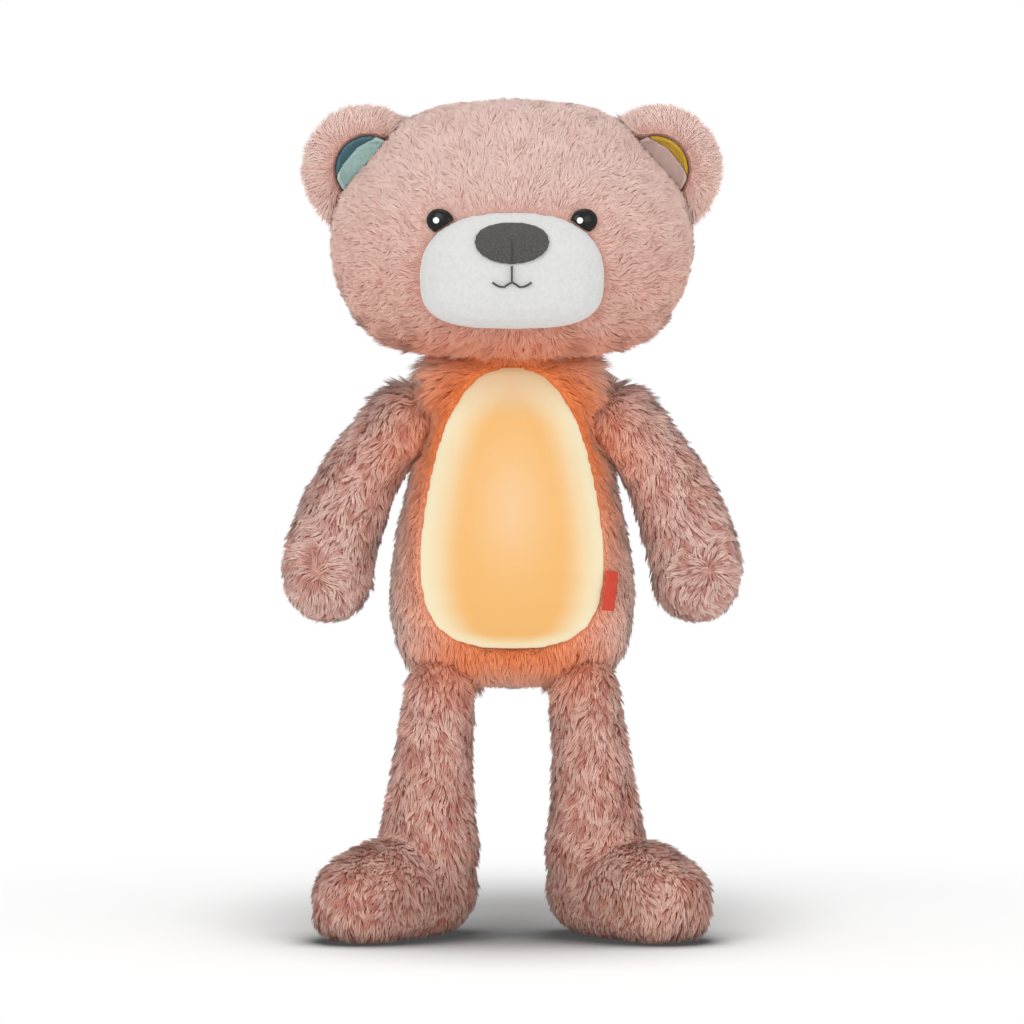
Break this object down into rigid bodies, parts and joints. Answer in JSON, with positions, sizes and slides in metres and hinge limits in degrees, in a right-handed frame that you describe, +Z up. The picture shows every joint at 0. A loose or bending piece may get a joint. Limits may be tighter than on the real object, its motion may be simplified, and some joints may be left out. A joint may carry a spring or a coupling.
{
  "type": "plush night light",
  "caption": "Stuffed plush bear that stands on flat soles, with a lit cloth belly panel over a battery light and sound module in a pocket behind a back flap.",
  "frame": {"origin": "on the surface that the toy stands on, under the middle of its overall box", "axes": "+Z up, -Y towards the front that the face looks to, +X towards the toy's own left side"},
  "size_m": [0.1822, 0.1144, 0.336],
  "materials": {
    "fur": "long shaggy polyester pile, dusty pink",
    "white_plush": "short white pile",
    "charcoal_felt": "short brushed cloth",
    "black_thread": "embroidery thread",
    "eye_black": "glossy",
    "eye_white": "glossy",
    "lit_cloth": "smooth padded knit, lit from behind",
    "aqua_cloth": "smooth woven cotton",
    "teal_cloth": "smooth woven cotton",
    "rose_cloth": "smooth woven cotton",
    "yellow_cloth": "smooth woven cotton",
    "red_tape": "woven tape, bare",
    "lining_cloth": "woven lining",
    "hook_loop": "hook and loop tape",
    "white_plastic": "moulded, fine texture",
    "opal_plastic": "translucent opal",
    "led_plastic": "cast resin",
    "dark_plastic": "moulded",
    "board_green": "solder mask",
    "spring_steel": "nickel plated",
    "cell_wrap": "printed sleeve, bare",
    "magnet_iron": "plated",
    "paper_cone": "pressed paper"
  },
  "bodies": {
    "torso": {"torso": "fur", "belly_panel": "lit_cloth", "side_tag": "red_tape", "loop_strip": "hook_loop", "pocket_liner": "lining_cloth", "module_housing": "white_plastic", "light_diffuser": "opal_plastic", "reflector": "white_plastic", "circuit_board": "board_green", "led_1": "led_plastic", "led_2": "led_plastic", "led_3": "led_plastic", "led_4": "led_plastic", "board_screw_1": "spring_steel", "board_screw_2": "spring_steel", "board_screw_3": "spring_steel", "board_screw_4": "spring_steel", "battery_cell_1": "cell_wrap", "battery_cell_2": "cell_wrap", "battery_cell_3": "cell_wrap", "battery_spring_1": "spring_steel", "battery_spring_2": "spring_steel", "battery_spring_3": "spring_steel", "contact_plate_lower": "spring_steel", "contact_plate_upper": "spring_steel", "battery_door": "white_plastic", "door_screw": "spring_steel", "speaker_frame": "spring_steel", "speaker_magnet": "magnet_iron", "speaker_cone": "paper_cone", "light_switch_body": "dark_plastic", "sound_switch_body": "dark_plastic", "power_switch_body": "dark_plastic"},
    "neck": {"neck": "fur"},
    "head": {"head": "fur", "muzzle": "white_plush", "nose": "charcoal_felt", "mouth_stitch": "black_thread", "eye_left": "eye_black", "eye_right": "eye_black", "eye_glint_left": "eye_white", "eye_glint_right": "eye_white", "ear_left": "fur", "ear_right": "fur", "ear_lining_left": "rose_cloth", "ear_lining_right": "aqua_cloth", "ear_accent_left": "yellow_cloth", "ear_accent_right": "teal_cloth"},
    "arm_left": {"arm_left": "fur"},
    "arm_right": {"arm_right": "fur"},
    "leg_left": {"leg_left": "fur"},
    "leg_right": {"leg_right": "fur"},
    "back_flap": {"back_flap": "fur", "hook_strip": "hook_loop"},
    "light_button": {"light_button": "dark_plastic"},
    "sound_button": {"sound_button": "dark_plastic"},
    "power_slider": {"power_slider": "dark_plastic"}
  },
  "joints": [
    {"name": "neck_turn", "type": "hinge", "parent": "torso", "child": "neck", "pos_m": [0, 0.01128, 0.234], "axis": [0, 0, 1], "range_deg": [-25, 25]},
    {"name": "head_nod", "type": "hinge", "parent": "neck", "child": "head", "pos_m": [0, 0.01128, 0.236], "axis": [1, 0, 0], "range_deg": [-12, 12], "deforming": ["neck"]},
    {"name": "arm_left_swing", "type": "hinge", "parent": "torso", "child": "arm_left", "pos_m": [0.0425, 0.01128, 0.206], "axis": [-1, 0, 0], "range_deg": [-40, 95]},
    {"name": "arm_right_swing", "type": "hinge", "parent": "torso", "child": "arm_right", "pos_m": [-0.0425, 0.01128, 0.206], "axis": [-1, 0, 0], "range_deg": [-40, 95]},
    {"name": "leg_left_swing", "type": "hinge", "parent": "torso", "child": "leg_left", "pos_m": [0.0285, 0.00528, 0.101], "axis": [-1, 0, 0], "range_deg": [-35, 85]},
    {"name": "leg_right_swing", "type": "hinge", "parent": "torso", "child": "leg_right", "pos_m": [-0.0285, 0.00528, 0.101], "axis": [-1, 0, 0], "range_deg": [-35, 85]},
    {"name": "back_flap_lift", "type": "hinge", "parent": "torso", "child": "back_flap", "pos_m": [0, 0.04258, 0.2092], "axis": [1, 0, 0], "range_deg": [0, 100]},
    {"name": "light_button_press", "type": "slide", "parent": "torso", "child": "light_button", "axis": [0, -1, 0], "range_m": [0, 0.0009], "stiffness_N_per_m": 2000},
    {"name": "sound_button_press", "type": "slide", "parent": "torso", "child": "sound_button", "axis": [0, -1, 0], "range_m": [0, 0.0009], "stiffness_N_per_m": 2000},
    {"name": "power_slider_slide", "type": "slide", "parent": "torso", "child": "power_slider", "axis": [0, 0, 1], "range_m": [-0.002, 0.002]}
  ]
}
